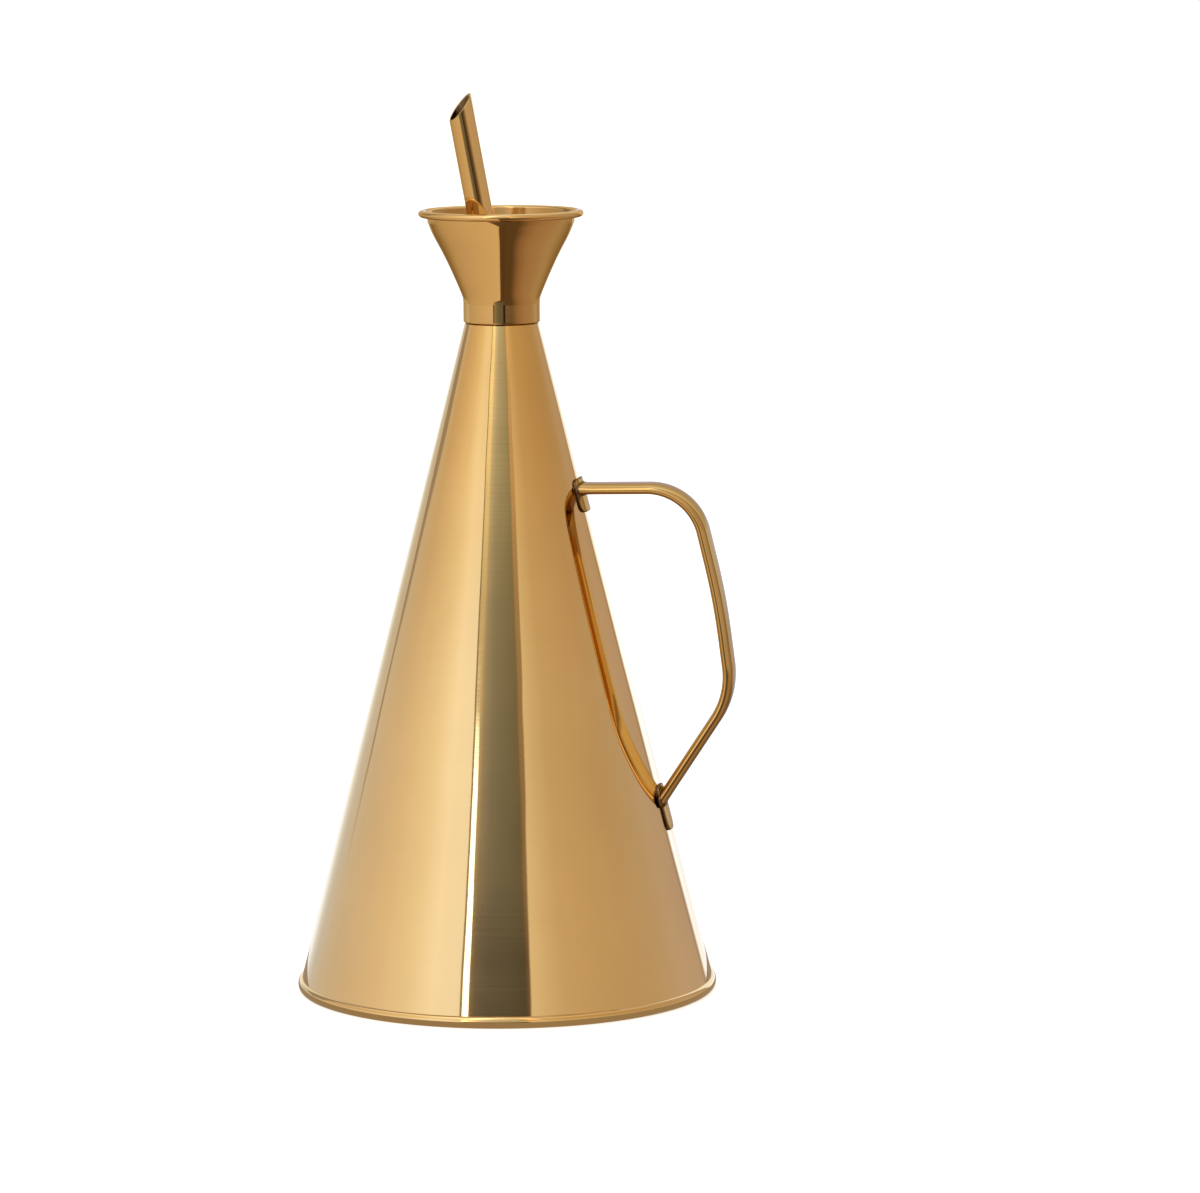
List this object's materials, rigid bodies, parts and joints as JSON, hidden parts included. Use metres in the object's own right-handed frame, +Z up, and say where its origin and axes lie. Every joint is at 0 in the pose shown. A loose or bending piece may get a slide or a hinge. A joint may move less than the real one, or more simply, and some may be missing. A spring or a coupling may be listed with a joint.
{
  "type": "oil can",
  "caption": "Conical gold-tone metal oil can with a bent strap handle and a push-on drip funnel head carrying a slant-cut leaning spout.",
  "frame": {"origin": "centre of the flat base's underside, on the can's axis", "axes": "+Z up along the can's axis, +X towards the handle, the spout leans to -X, turned 28.5 degrees towards -Y"},
  "size_m": [0.1347, 0.128, 0.2728],
  "materials": {
    "gold_body": "gold-tone, polished with faint brushing around the cone",
    "gold_head": "gold-tone, mirror polished",
    "gold_handle": "gold-tone, polished along its length",
    "gold_base": "gold-tone, dull",
    "seal": "translucent soft silicone"
  },
  "bodies": {
    "can": {"cone_body": "gold_body", "base_plate": "gold_base", "neck_ring": "gold_base", "handle_bar": "gold_handle", "upper_handle_foot": "gold_handle", "lower_handle_foot": "gold_handle"},
    "seal": {"neck_seal": "seal"},
    "head": {"funnel_cup": "gold_head", "drip_floor": "gold_base", "spout_tube": "gold_head"}
  },
  "joints": [
    {"name": "head_lift", "type": "slide", "parent": "can", "child": "seal", "axis": [0, 0, 1], "range_m": [0, 0.03]},
    {"name": "head_turn", "type": "hinge", "parent": "seal", "child": "head", "pos_m": [0, 0, 0.2], "axis": [0, 0, 1], "continuous": true}
  ]
}
